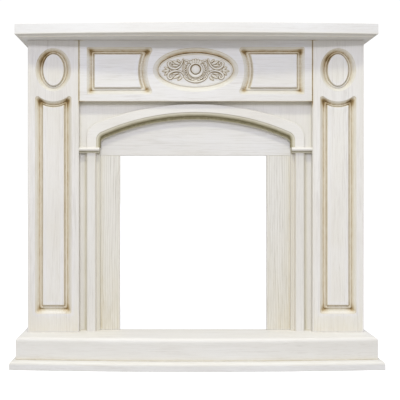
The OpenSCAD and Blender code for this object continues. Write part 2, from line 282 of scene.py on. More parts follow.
# ------------------------------------------------------------- mesh builder
class Build:
    """Collects rings of points, in millimetres, with a patina value each; in places that value is painted shade.
    """

    def __init__(self):
        self.v, self.p, self.f = [], [], []

    def ring(self, pts, pat=0.0):
        pts = np.asarray(pts, float)
        a = len(self.v)
        pat = np.broadcast_to(np.asarray(pat, float), (len(pts),))
        self.v.extend(pts.tolist())
        self.p.extend(pat.tolist())
        return np.arange(a, a + len(pts))

    def loft(self, a, b, closed=True):
        n = len(a)
        for i in range(n if closed else n - 1):
            j = (i + 1) % n
            self.f.append((int(a[i]), int(a[j]), int(b[j]), int(b[i])))

    def lofts(self, rings, closed=True):
        for a, b in zip(rings, rings[1:]):
            self.loft(a, b, closed)

    def cap(self, ring):
        self.f.append(tuple(int(i) for i in ring))

    def fill(self, outer, holes=(), axis="y", spacing=8.0, pat=None, keep=3.0):
        """Flat fill between an outer ring and holes, with inner points on a
        grid so that the patina can vary over the face."""
        use = (0, 2) if axis == "y" else (0, 1) if axis == "z" else (1, 2)
        rest = {"y": 1, "z": 2, "x": 0}[axis]
        V = np.array(self.v)
        loops = [outer, *holes]
        co, edges, back = [], [], []
        for lp in loops:
            s = len(co)
            for i in lp:
                co.append(V[i][list(use)])
                back.append(int(i))
            k = len(lp)
            edges += [(s + i, s + (i + 1) % k) for i in range(k)]
        level = V[outer[0]][rest]
        P = np.array(co)
        lo, hi = P[:len(outer)].min(0), P[:len(outer)].max(0)
        if spacing:
            nx = max(2, int(round((hi[0] - lo[0]) / spacing)))
            nz = max(2, int(round((hi[1] - lo[1]) / spacing)))
            gx = np.linspace(lo[0], hi[0], nx + 1)[1:-1]
            gz = np.linspace(lo[1], hi[1], nz + 1)[1:-1]
            G = np.array([(x, z) for z in gz for x in gx]) if len(gx) and len(gz) else np.zeros((0, 2))
            if len(G):
                ok = inside(G, P[:len(outer)])
                s = len(outer)
                for h in holes:
                    ok &= ~inside(G, P[s:s + len(h)])
                    s += len(h)
                G = G[ok]
            if len(G):
                d = np.full(len(G), 1e9)
                for a in range(0, len(P), 400):
                    q = P[a:a + 400]
                    d = np.minimum(d, np.sqrt(((G[:, None] - q[None]) ** 2).sum(2)).min(1))
                # stay clear of the border's lines too
                for (i, j) in edges:
                    ab = P[j] - P[i]
                    L2 = float(ab @ ab)
                    if L2 > (keep * 2) ** 2:
                        t = np.clip(((G - P[i]) @ ab) / L2, 0, 1)
                        d = np.minimum(d, np.linalg.norm(G - (P[i] + t[:, None] * ab), axis=1))
                G = G[d > keep]
            if len(G):
                pts = np.zeros((len(G), 3))
                pts[:, use[0]], pts[:, use[1]], pts[:, rest] = G[:, 0], G[:, 1], level
                idx = self.ring(pts, 0.0 if pat is None else pat(G[:, 0], G[:, 1]))
                co += [g for g in G]
                back += [int(i) for i in idx]
        verts = [Vector((float(c[0]), float(c[1]))) for c in co]
        ov, oe, of_, orig, _, _ = delaunay_2d_cdt(verts, edges, [], 1, 1e-5)
        C = np.array([[o.x, o.y] for o in ov])
        look = {}
        for i, o in enumerate(orig):
            look[i] = back[o[0]] if o else None
        tri = np.array([list(t) for t in of_])
        cen = C[tri].mean(1)
        ok = inside(cen, P[:len(outer)])
        s = len(outer)
        for h in holes:
            ok &= ~inside(cen, P[s:s + len(h)])
            s += len(h)
        for t in tri[ok]:
            ids = [look[int(i)] for i in t]
            if None not in ids and len(set(ids)) == 3:
                self.f.append(tuple(ids))


def inside(pts, poly):
    """Even-odd test of many points against one polygon."""
    x, z = pts[:, 0], pts[:, 1]
    res = np.zeros(len(pts), bool)
    n = len(poly)
    for i in range(n):
        a, b = poly[i], poly[(i + 1) % n]
        if a[1] == b[1]:
            continue
        c = (a[1] > z) != (b[1] > z)
        xi = a[0] + (z - a[1]) * (b[0] - a[0]) / (b[1] - a[1])
        res ^= c & (x < xi)
    return res


def finish_piece(name, build, mat, nodes, sharp=32.0, smooth=True, clean=True):
    v = np.array(build.v) * MM
    me = bpy.data.meshes.new(name)
    me.from_pydata(v.tolist(), [], build.f)
    at = me.attributes.new("patina_and_shade", "FLOAT", "POINT")
    at.data.foreach_set("value", np.array(build.p, np.float32))
    me.update()
    import bmesh
    bm = bmesh.new()
    bm.from_mesh(me)
    if clean:
        bmesh.ops.remove_doubles(bm, verts=bm.verts, dist=2e-6)
    bmesh.ops.recalc_face_normals(bm, faces=bm.faces)
    bm.to_mesh(me)
    open_edges = sum(1 for e in bm.edges if not e.is_manifold)
    bm.free()
    if open_edges:
        print("OPEN", name, open_edges)
    me.materials.append(mat)
    ob = bpy.data.objects.new(name, me)
    scene.collection.objects.link(ob)
    if smooth:
        me.polygons.foreach_set("use_smooth", np.ones(len(me.polygons), bool))
        me.set_sharp_from_angle(angle=math.radians(sharp))
        wn = ob.modifiers.new("weighted", "WEIGHTED_NORMAL")
        wn.keep_sharp = True
        wn.mode = "FACE_AREA"
        wn.weight = 50
    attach(ob, "root")
    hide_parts(*nodes)
    tris = sum(len(p.vertices) - 2 for p in me.polygons)
    print("PIECE", name, "tris", tris)
    return ob


# ------------------------------------------------------------------- curves
def lerp(a, b, t):
    return a + (b - a) * t


def arc(cx, cz, r, a0, a1, n):
    a = np.radians(np.linspace(a0, a1, n + 1))
    return np.stack([cx + r * np.cos(a), cz + r * np.sin(a)], 1)


def dense(pts, step):
    """Adds points along the long straight runs of a closed outline."""
    out = []
    n = len(pts)
    for i in range(n):
        a, b = pts[i], pts[(i + 1) % n]
        k = max(1, int(np.linalg.norm(b - a) // step))
        out += [a + (b - a) * j / k for j in range(k)]
    return np.array(out)


def eared(hw, zb, zt, zm, rb, re, n_side=24):
    """The panel outline of the CAD model, with more points: a top hollowed by
    an arc between two round ears."""
    ex, ez = hw - re, zt - re
    zc = (ex * ex + ez * ez - (re - zm) ** 2) / (2 * (ez + re - zm))
    th = math.degrees(math.atan2(zc - ez, -ex))
    r = zc - zm
    s = lambda a, b: np.stack([np.linspace(a[0], b[0], n_side + 1)[1:-1],
                               np.linspace(a[1], b[1], n_side + 1)[1:-1]], 1)
    br = arc(hw - rb, zb + rb, rb, -90, 0, 8)
    er = arc(ex, ez, re, 0, th, 16)
    w = np.radians(np.linspace(th - 180, -th, 34)[1:-1])
    hol = np.stack([r * np.cos(w), zc + r * np.sin(w)], 1)
    el = arc(-ex, ez, re, 180 - th, 180, 16)
    bl = arc(rb - hw, zb + rb, rb, 180, 270, 8)
    return np.concatenate([br, s(br[-1], er[0]), er, hol, el, s(el[-1], bl[0]), bl,
                           s(bl[-1], br[0])])


def panel_profile(w, d, field):
    """Section of the routed moulding, rows of [way in, depth, patina]: a small
    step, an ogee, a quirk, a bead, a second quirk, and a sweep up to the
    field."""
    rows = [(-6.0, 0, 0.0), (-2.4, 0, 0.01), (-0.7, 0.0, 0.05), (-0.2, 0.12, 0.14),
            (0.1, 0.6, 0.30), (0.25, 1.15, 0.42), (0.7, 1.5, 0.22)]
    for u in np.linspace(0.09, 1, 11):
        k = 0.5 * u + 0.5 * u * u * (3 - 2 * u)
        rows.append((lerp(0.7, 11.2, u), lerp(1.5, d - 1.4, k), 0.12 + 0.32 * u ** 1.1))
    rows += [(11.6, d - 0.7, 0.48), (11.9, d - 0.15, 0.54), (12.5, d, 0.58), (13.4, d, 0.54),
             (13.8, d - 0.25, 0.48)]
    for a in np.linspace(165, 15, 9):
        c, sn = math.cos(math.radians(a)), math.sin(math.radians(a))
        rows.append((16.9 + 3.0 * c, d - 3.0 * sn, 0.44 - 0.10 * sn))
    rows += [(20.1, d - 0.2, 0.47), (20.4, d, 0.52), (21.2, d, 0.54), (21.5, d - 0.4, 0.48)]
    for u in np.linspace(0.1, 1, 8):
        k = math.sin(u * math.pi / 2)
        rows.append((lerp(21.5, w * 0.985, u), lerp(d - 0.4, field + 0.5, k ** 0.9), 0.46 - 0.28 * u))
    rows += [(w * 0.993, field + 0.25, 0.07), (w * 1.008, field + 0.05, 0.03),
             (w * 1.04, field, 0.01), (w * 1.10, field, 0.0), (w * 1.22, field, 0.0)]
    return rows


def box_ring(x0, x1, z0, z1, e, y, seg):
    """Rectangle set in by e, with points every seg or so."""
    c = np.array([[x0 + e, z0 + e], [x1 - e, z0 + e], [x1 - e, z1 - e], [x0 + e, z1 - e]])
    full = np.array([[x0, z0], [x1, z0], [x1, z1], [x0, z1]], float)
    out = []
    for i in range(4):
        k = max(1, int(round(np.linalg.norm(full[(i + 1) % 4] - full[i]) / seg)))
        out += [c[i] + (c[(i + 1) % 4] - c[i]) * j / k for j in range(k)]
    P = np.array(out)
    return np.stack([P[:, 0], np.full(len(P), y), P[:, 1]], 1)


def on_y(P, y):
    return np.stack([P[:, 0], np.full(len(P), float(y)), P[:, 1]], 1)


def board(b, x0, x1, z0, z1, y0, y1, r=1.6, holes=(), pat=None, edge_pat=0.12,
          spacing=9.0, seg=20.0, side_pat=0.05):
    """Board seen from -Y with eased front edges.  holes are (ring function,
    profile, dx, field patina) for routed panels."""
    n = 4
    rings = [b.ring(box_ring(x0, x1, z0, z1, 5.0, y0, seg), 0.0),
             b.ring(box_ring(x0, x1, z0, z1, r + 0.6, y0, seg), edge_pat * 0.4)]
    if pat is not None:
        V = np.array([b.v[i] for i in rings[0]])
        for i, q in zip(rings[0], pat(V[:, 0], V[:, 2])):
            b.p[int(i)] = float(q)
    for i in range(n + 1):
        a = math.radians(90 * i / n)
        rings.append(b.ring(box_ring(x0, x1, z0, z1, r - r * math.sin(a), y0 + r - r * math.cos(a), seg),
                            edge_pat * (0.6 + 0.4 * i / n)))
    rings.append(b.ring(box_ring(x0, x1, z0, z1, 0, y0 + r + 4, seg), side_pat))
    rings.append(b.ring(box_ring(x0, x1, z0, z1, 0, y1 - 3, seg), side_pat))
    rings.append(b.ring(box_ring(x0, x1, z0, z1, 0, y1 - 0.8, seg), 0.05))
    rings.append(b.ring(box_ring(x0, x1, z0, z1, 0.8, y1, seg), 0.04))
    rings.append(b.ring(box_ring(x0, x1, z0, z1, 6, y1, seg), 0.02))
    b.lofts(rings)
    b.fill(rings[-1], spacing=60.0, pat=lambda x, z: np.full(len(x), 0.02), keep=10.0)
    hole_rings = []
    for fn, prof, field_pat, gap in holes:
        rr = [b.ring(on_y(fn(t), y0 + d), p if not callable(p) else p) for t, d, p in prof]
        b.lofts(rr)
        hole_rings.append(rr[0])
        b.fill(rr[-1], spacing=gap, pat=field_pat)
    b.fill(rings[0], hole_rings, spacing=spacing, pat=pat)


def joint(b, test, p):
    """Raises the patina of the points that test picks."""
    V = np.array(b.v)
    q = np.clip(test(V[:, 0], V[:, 1], V[:, 2]), 0, 1) * p * (V[:, 1] < Y0 + 22)
    b.p = np.maximum(np.array(b.p), q).tolist()


def hash_noise(x, z, s, seed=0):
    """Smooth value noise in the plane, for broad unevenness of the glaze."""
    x, z = np.asarray(x) / s + seed * 17.3, np.asarray(z) / s + seed * 5.1
    xi, zi = np.floor(x), np.floor(z)
    fx, fz = x - xi, z - zi
    fx, fz = fx * fx * (3 - 2 * fx), fz * fz * (3 - 2 * fz)

    def h(a, b):
        q = np.sin(a * 127.1 + b * 311.7 + seed * 74.7) * 43758.5453
        return q - np.floor(q)
    return ((h(xi, zi) * (1 - fx) + h(xi + 1, zi) * fx) * (1 - fz)
            + (h(xi, zi + 1) * (1 - fx) + h(xi + 1, zi + 1) * fx) * fz)


def edge_glow(d, reach):
    return np.exp(-np.maximum(d, 0) / reach)


# ------------------------------------------------------------ the materials
# the left pilaster's paint is a little darker than the right's: painted shade, as the light falls from the right
M_PIL_L_SHADED = paint("paint_pilaster_left_shaded", "z", 1.0, cream=(225, 223, 222))
M_PIL_R = paint("paint_pilaster_right", "z", 2.3)
M_FRZ = paint("paint_frieze", "x", 3.1, cream=(227, 226, 227))
M_SHELF = paint("paint_shelf", "x", 4.7, cream=(223, 223, 225), streak=0.28, pores=0.35)
M_PLINTH = paint("paint_plinth", "x", 5.2, cream=(226, 225, 224), streak=0.36, pores=0.45, gloss=0.56)
M_HEARTH = paint("paint_hearth", "x", 6.4, cream=(225, 225, 226), streak=0.38, pores=0.45, gloss=0.56)
M_PORTAL = paint("paint_portal", "z", 7.7, streak=0.22, pores=0.3, olive=True, follow=0.0,
                 blotch=0.25)
M_ARCH = paint("paint_archivolt", "x", 8.1, streak=0.18, pores=0.25, olive=True, follow=0.0,
               blotch=0.25)
M_LEG = paint("paint_legs", "z", 9.9, cream=(222, 220, 217), streak=0.40, pores=0.5)
M_SUR = paint("paint_surround_sides", "z", 10.3, cream=(225, 223, 220), grain_tone=(182, 177, 170),
              streak=0.42, pores=0.6, cathedral=0.28)
# the head's paint is tinted cool lavender: painted shade, standing in for the sky-lit shade on the tympanum
M_HEAD = paint("paint_surround_head", "x", 11.8, cream=(226, 225, 227), grain_tone=(188, 184, 180),
               streak=0.30, pores=0.4, cathedral=0.05)
M_CHEEK = paint("paint_cheeks", "z", 12.6)
M_ORN = paint("paint_ornament", "x", 13.5, cream=(230, 227, 221), streak=0.12, pores=0.15,
              patina_gain=1.05)

# --------------------------------------------------------------- pilasters
PANEL_HW, PANEL_ZB, PANEL_ZT, PANEL_ZM = 57.5, 154.6, 850.0, 833.0
OVAL_A, OVAL_B = 56.6, 68.5
GROOVE = 10.5


def long_panel(cx):
    def fn(t):
        P = eared(PANEL_HW - t, PANEL_ZB + t * 1.12, lerp(PANEL_ZT, PANEL_ZT - 30, t / 25),
                  lerp(PANEL_ZM, PANEL_ZM - 19, t / 25), max(1.2, lerp(7, 2, t / 25)),
                  max(1.2, lerp(7.5, 2, t / 25)), n_side=40)
        return P + np.array([cx, 0])
    return fn


def oval(cx, cz, a, b, kb, n=120):
    def fn(t):
        w = np.linspace(0, 2 * math.pi, n, endpoint=False)
        return np.stack([cx + (a - t) * np.cos(w), cz + (b - t * kb) * np.sin(w)], 1)
    return fn


def corner_patina_and_shading(fn, prof, corners, reach, gain, top=None, span=20.0, top_shade=0.3, low=None, low_lightening=0.5):
    """Profile rows whose patina grows near the given corner points. Along the
    upper run it grows further as painted shade on the downward-facing moulding,
    and near the low end it is cut back as painted light on the upward-facing moulding."""
    rows = []
    for t, d, p in prof:
        P = fn(t)
        q = np.zeros(len(P))
        for (cx, cz) in corners:
            q = np.maximum(q, np.exp(-(((P - np.array([cx, cz])) / reach) ** 2).sum(1)))
        # u adds painted shade along the upper run; w takes glaze away near the low end as painted light
        u = np.zeros(len(P))
        if top is not None:
            u = np.clip((P[:, 1] - (top - span * 1.7)) / span, 0, 1)
        w = np.zeros(len(P))
        if low is not None:
            w = np.clip((low + span * 1.4 - P[:, 1]) / span, 0, 1)
        k = (1 + gain * q + top_shade * u) * (1 - low_lightening * w * (1 - 0.8 * q))
        on = min(1.0, p / 0.10)
        if t > 24.4 or t < 0:
            on = on * 0.25
        rows.append((t, d, np.clip(p * k + (0.24 * q + 0.03 * u) * on, 0, 1)))
    return rows


def make_pilaster(side, mat):
    cx = PIL_X * side
    b = Build()
    lp = long_panel(cx)
    prof = corner_patina_and_shading(lp, panel_profile(25, GROOVE, 1.8),
                         [(cx - 46, 834), (cx + 46, 834), (cx - 47, 165), (cx + 47, 165)],
                         15.0, 0.5, top=850, low=155, low_lightening=0.25)
    ov = oval(cx, OVAL_Z, OVAL_A, OVAL_B, 0.768)
    oprof = corner_patina_and_shading(ov, panel_profile(24.6, GROOVE, 1.8), [(cx - 38, 972)], 30.0, 0.35, top=1003, span=28.0,
                           top_shade=0.22, low=866, low_lightening=0.55)

    def pat(x, z):
        d_edge = np.minimum(np.abs(x - (cx - 82)), np.abs(x - (cx + 82)))
        q = 0.09 * edge_glow(d_edge, 7) + 0.09 * np.clip((200 - z) / 90, 0, 1)
        q = q + 0.08 * edge_glow(z - PIL[0][2], 40) * (0.5 + hash_noise(x, z, 30, 3))
        q = q + 0.05 * np.clip((520 - z) / 520, 0, 1)
        q = q + 0.05 * (hash_noise(x, z, 60, 1) - 0.4)
        return np.clip(q, 0, 1)

    def field(x, z):
        q = 0.03 + 0.05 * hash_noise(x, z, 40, 2) + 0.05 * np.clip((520 - z) / 520, 0, 1)
        return np.clip(q, 0, 1)

    board(b, cx - 82, cx + 82, PIL[0][2], PIL[1][2], Y0, PIL[1][1], r=1.8,
          holes=[(lp, prof, field, 9.0), (ov, oprof, field, 9.0)], pat=pat,
          edge_pat=0.14, spacing=9.0)
    joint(b, lambda x, y, z: np.exp(-((np.abs(x) - PIL_IN) / 2.2) ** 2) * (z > 828), 0.85)
    joint(b, lambda x, y, z: np.exp(-((np.abs(x) - PIL_IN) / 1.4) ** 2) * (z <= 828), 0.16)
    return finish_piece("pilaster_board_" + ("right" if side > 0 else "left"), b, mat,
                        ["pilaster_" + ("right" if side > 0 else "left")])


make_pilaster(-1, M_PIL_L_SHADED)
make_pilaster(1, M_PIL_R)

# ------------------------------------------------------------------- frieze
FP_X0, FP_X1, FP_XM, FP_HH, FP_ZC = 348.0, 140.0, 156.0, 75.0, 932.0
MED_A, MED_B = 136.0, 70.0
MED_D = 7.6


def frieze_panel(side):
    def fn(t):
        P = eared(FP_HH - t * 0.93, -FP_X0 + t, lerp(-FP_X1, -FP_X1 - 38, t / 25),
                  lerp(-FP_XM, -FP_XM - 30, t / 25), max(1.0, lerp(4, 1.5, t / 25)),
                  max(1.2, lerp(9, 2, t / 25)), n_side=30)
        Q = np.stack([P[:, 1], FP_ZC - P[:, 0]], 1)
        if side > 0:
            Q = Q[::-1].copy()
            Q[:, 0] *= -1
        return Q
    return fn


def medallion_profile():
    d = 9.6
    rows = [(-6.0, 0, 0.0), (-2.4, 0, 0.01), (-0.7, 0.0, 0.06), (-0.2, 0.12, 0.16),
            (0.1, 0.6, 0.32), (0.25, 1.15, 0.42), (0.8, 1.5, 0.22)]
    for u in np.linspace(0.08, 1, 12):
        k = 0.5 * u + 0.5 * u * u * (3 - 2 * u)
        rows.append((lerp(0.8, 13.6, u), lerp(1.5, d - 1.6, k), 0.12 + 0.30 * u ** 1.3))
    rows += [(14.0, d - 0.9, 0.50), (14.3, d - 0.2, 0.62), (15.0, d, 0.66), (15.9, d, 0.60),
             (16.3, d - 0.25, 0.46)]
    for a in np.linspace(165, 35, 8):
        c, sn = math.cos(math.radians(a)), math.sin(math.radians(a))
        rows.append((18.6 + 2.3 * c, d - 2.5 * sn, 0.36 - 0.2 * sn))
    rows += [(20.9, MED_D - 0.15, 0.26), (21.5, MED_D, 0.20), (22.6, MED_D, 0.08), (24.0, MED_D, 0.04)]
    return rows


# ------------------------------------------------- carved cartouche (height)
OW, OH = 112.0, 43.0
STEP = 0.62
gu = np.arange(-OW, OW + STEP, STEP)
gv = np.arange(-OH, OH + STEP, STEP)
GU, GV = np.meshgrid(gu, gv)


def spline(pts, n=90):
    """Catmull-Rom curve through points."""
    P = np.array(pts, float)
    P = np.vstack([2 * P[0] - P[1], P, 2 * P[-1] - P[-2]])
    out = []
    segs = len(P) - 3
    for i in range(segs):
        t = np.linspace(0, 1, max(3, n // segs), endpoint=(i == segs - 1))[:, None]
        a, b_, c, d = P[i], P[i + 1], P[i + 2], P[i + 3]
        out.append(0.5 * ((2 * b_) + (c - a) * t + (2 * a - 5 * b_ + 4 * c - d) * t ** 2
                          + (3 * b_ - a - 3 * c + d) * t ** 3))
    return np.vstack(out)


def tube(H, pts, w, h, crease=0.0):
    """Raises a rounded ridge along a curve; w and h are (start, middle, end)."""
    C = spline(pts)
    T = np.linspace(0, 1, len(C))
    for s in (1, -1):
        cx = C[:, 0] * s
        lo = (min(cx) - 12, min(C[:, 1]) - 12)
        hi = (max(cx) + 12, max(C[:, 1]) + 12)
        m = (GU > lo[0]) & (GU < hi[0]) & (GV > lo[1]) & (GV < hi[1])
        u, v = GU[m], GV[m]
        d2 = (u[:, None] - cx[None]) ** 2 + (v[:, None] - C[:, 1][None]) ** 2
        k = d2.argmin(1)
        d = np.sqrt(d2[np.arange(len(k)), k])
        t = T[k]
        W = np.interp(t, [0, 0.5, 1], w)
        Z = np.interp(t, [0, 0.5, 1], h)
        q = np.clip(1 - (d / W) ** 2, 0, None)
        z = Z * np.sqrt(q)
        if crease:
            z = z - crease * np.exp(-(d / (W * 0.22)) ** 2) * (q > 0)
        H[m] = np.maximum(H[m], z)
    return H


def dome(H, x, z, rx, rz, h, ang=0.0, both=True, power=0.5):
    for s in ((1, -1) if both else (1,)):
        c, sn = math.cos(math.radians(ang)), math.sin(math.radians(ang))
        u, v = (GU * s - x), (GV - z)
        uu, vv = u * c + v * sn, -u * sn + v * c
        q = np.clip(1 - (uu / rx) ** 2 - (vv / rz) ** 2, 0, None)
        H[:] = np.maximum(H, h * q ** power)
    return H


def leaf(H, base, tip, w, h, both=True):
    """Pointed leaf with a raised midrib groove."""
    b0, t0 = np.array(base, float), np.array(tip, float)
    L = np.linalg.norm(t0 - b0)
    d = (t0 - b0) / L
    for s in ((1, -1) if both else (1,)):
        u, v = GU * s - b0[0], GV - b0[1]
        a = (u * d[0] + v * d[1]) / L
        c = -u * d[1] + v * d[0]
        W = w * np.sin(np.clip(a, 0, 1) * math.pi) ** 0.7 * (1 - 0.25 * a)
        ok = (a > 0) & (a < 1)
        q = np.where(ok, np.clip(1 - (c / np.maximum(W, 1e-3)) ** 2, 0, None), 0)
        z = h * np.sqrt(q) * (1 - 0.35 * a) - 0.9 * np.exp(-(c / 0.9) ** 2) * (q > 0.1)
        H[:] = np.maximum(H, z)
    return H


H = np.zeros_like(GU)
# paired C scrolls: an upper cup and a lower cap that touch at mid height
tube(H, [(40, 34), (44, 23), (51, 11.5), (62, 4.5), (74, 4.5), (84, 10.5), (88, 20), (83.5, 26.5),
         (77, 24.5), (76.5, 19.5)], (2.2, 4.0, 2.6), (3.4, 5.8, 4.6))
tube(H, [(37, -17), (43.5, -8.5), (53, -3.6), (65, -2.8), (77, -6), (86, -13), (88.5, -22),
         (83, -28), (76.5, -25.5), (76.5, -20.5)], (2.2, 4.0, 2.6), (3.4, 5.8, 4.6))
# leaves held inside the scrolls
leaf(H, (50, 17), (74, 29), 5.2, 4.8)
leaf(H, (54, 13), (77, 15), 4.2, 4.6)
leaf(H, (49, 24), (60, 34), 3.6, 3.8)
leaf(H, (49, -15), (73, -27), 5.2, 4.8)
leaf(H, (54, -9.5), (77, -14), 3.8, 4.4)
leaf(H, (44, -22), (58, -33), 4.4, 4.0)
# outer leaf tips
leaf(H, (84, 0.5), (101, 10), 4.2, 3.8)
leaf(H, (84, -1), (108, -4), 4.6, 4.0)
leaf(H, (86, -4), (100, -17), 4.0, 3.6)
# pearl rows beside the ring
for k in range(7):
    a = math.radians(-42 + 14 * k)
    dome(H, 31.5 * math.cos(a) + 1.0, 1.5 + 31.5 * math.sin(a), 3.0, 3.0, 5.2)
tube(H, [(36.5, 25), (40, 12), (40.8, 0), (39, -13), (34, -23)], (1.3, 1.9, 1.3), (2.8, 3.4, 2.6))
# lower garland: arcs to the pendant with pierced rounds
tube(H, [(36, -22), (27, -30.5), (15, -36), (3, -38.5)], (2.6, 3.2, 3.2), (3.2, 4.2, 4.4))
tube(H, [(26, -19), (19, -26.5), (9, -31.5), (2, -33)], (2.0, 2.4, 2.4), (3.0, 3.8, 4.0))
dome(H, 0, -36.5, 5.4, 4.6, 5.6, both=False)
dome(H, 10.5, -31.0, 3.6, 3.4, 4.8)
# upper shell: fluted lobes above the boss
for k, a in enumerate((58, 74, 90, 106, 122)):
    r = 26.5
    dome(H, r * math.cos(math.radians(a)), 2.5 + r * math.sin(math.radians(a)) * 1.0,
         4.4, 7.0, 5.6 if k != 2 else 6.2, ang=a - 90, both=False)
tube(H, [(15, 21), (22, 27), (30, 30), (36, 27)], (2.4, 2.8, 2.0), (3.6, 4.2, 3.2))
# ring round the boss, thick below like a crescent
ang = np.arctan2(GV - 1.5, GU)
rad = np.sqrt(GU ** 2 + (GV - 1.5) ** 2)
down = 0.5 - 0.5 * np.sin(ang)
rc = 20.0 + 1.3 * down
wr = 3.0 + 3.4 * down ** 1.5
ringz = (4.4 + 2.6 * down) * np.sqrt(np.clip(1 - ((rad - rc) / wr) ** 2, 0, None))
H = np.maximum(H, ringz)
# moat between the ring and the boss, then the boss itself
H = np.where(rad < 16.2, 0.9, H)
H = np.maximum(H, 7.0 * np.clip(1 - (rad / 14.8) ** 2.6, 0, None) ** 0.5 * (rad < 14.8))
# pierced rounds
for (hx, hz, hr) in ((30.5, -24.6, 1.7), (15.8, -31.4, 1.7), (23.6, -29.0, 1.5)):
    for s in (1, -1):
        d = np.sqrt((GU - s * hx) ** 2 + (GV - hz) ** 2)
        H = np.where(d < hr, np.minimum(H, 0.3 + 3.5 * (d / hr) ** 4), H)
# hand-cut unevenness
H = np.where(H > 0.05, H * (0.95 + 0.10 * hash_noise(GU, GV, 5.0, 4)), 0)
H = np.minimum(H, 7.6)


def blur(A, k):
    for _ in range(k):
        A = (np.roll(A, 1, 0) + np.roll(A, -1, 0) + np.roll(A, 1, 1) + np.roll(A, -1, 1) + A * 2) / 6
    return A


HB = blur(H, 10)
HW = blur(H, 60)
HN = blur(H, 3)
crease = np.clip((HN - H) / 0.45, 0, 1)
foot = np.exp(-(H / 2.0) ** 2)
gz, gx = np.gradient(blur(H, 1), STEP)
steep = np.clip((np.hypot(gx, gz) - 0.55) / 1.5, 0, 1)
ORN_PAT = np.clip(0.55 * crease + 0.70 * foot + 0.42 * steep + 0.25 * np.clip((HB - H) / 1.6, 0, 1), 0.0, 1.0)
near = blur((H > 0.3).astype(float), 12)
MASK = np.clip(near * 1.7, 0, 1) ** 0.8
HOLLOW = np.clip(blur((H > 0.3).astype(float), 90) * 1.1, 0, 1)


def sample(A, x, z):
    i = np.clip(np.round((np.asarray(z) - OVAL_Z + OH) / STEP).astype(int), 0, A.shape[0] - 1)
    j = np.clip(np.round((np.asarray(x) + OW) / STEP).astype(int), 0, A.shape[1] - 1)
    return A[i, j]


def make_frieze():
    b = Build()

    def pat(x, z):
        q = 0.05 * edge_glow(np.minimum(np.abs(x + PIL_IN), np.abs(x - PIL_IN)), 8)
        q = q + 0.10 * edge_glow(FRZ[1][2] - z, 9)
        q = q + 0.06 * edge_glow(z - FRZ[0][2], 7)
        q = q + 0.05 * (hash_noise(x, z, 50, 5) - 0.4)
        return np.clip(q, 0, 1)

    def field(x, z):
        return np.clip(0.02 + 0.05 * hash_noise(x, z, 40, 6), 0, 1)

    def med(x, z):
        e = ((x / 112.5) ** 2 + ((z - OVAL_Z) / 47.5) ** 2)
        q = 0.02 + 0.06 * np.clip(e, 0, 1) ** 4
        q = q + (0.72 * sample(MASK, x, z) + 0.08 * sample(HOLLOW, x, z)) * (np.abs(x) < OW - 2)
        return np.clip(q * (0.8 + 0.4 * hash_noise(x, z, 9, 7)), 0, 1)

    pp = panel_profile(25, GROOVE, 1.8)
    fl, fr = frieze_panel(-1), frieze_panel(1)
    cl = [(-152, 993), (-152, 871), (-338, 996), (-338, 868)]
    cr = [(-x, z) for x, z in cl]
    mo = oval(0, OVAL_Z, MED_A, MED_B, 0.955, n=220)
    # side_pat=0.25 darkens the frieze's side faces, its visible underside among them: painted shade under the
    # frieze
    board(b, -PIL_IN, PIL_IN, FRZ[0][2], FRZ[1][2], Y0, FRZ[1][1], r=1.6,
          holes=[(fl, corner_patina_and_shading(fl, pp, cl, 12.0, 0.5, top=1007, low=857, low_lightening=0.62), field, 9.0),
                 (fr, corner_patina_and_shading(fr, pp, cr, 12.0, 0.5, top=1007, low=857, low_lightening=0.62), field, 9.0),
                 (mo, corner_patina_and_shading(mo, medallion_profile(), [], 1.0, 0.0, top=1003, span=34.0, top_shade=0.7,
                                    low=866, low_lightening=0.45), med, 1.7)],
          pat=pat, edge_pat=0.22, spacing=9.0, side_pat=0.25)
    joint(b, lambda x, y, z: np.exp(-((np.abs(x) - PIL_IN) / 2.2) ** 2), 0.85)
    # the line along the frieze's bottom edge is painted shade under the frieze, over a thin glaze line
    joint(b, lambda x, y, z: np.exp(-((z - FRZ[0][2]) / 0.7) ** 2), 0.5)
    return finish_piece("frieze_board", b, M_FRZ, ["frieze"])


make_frieze()


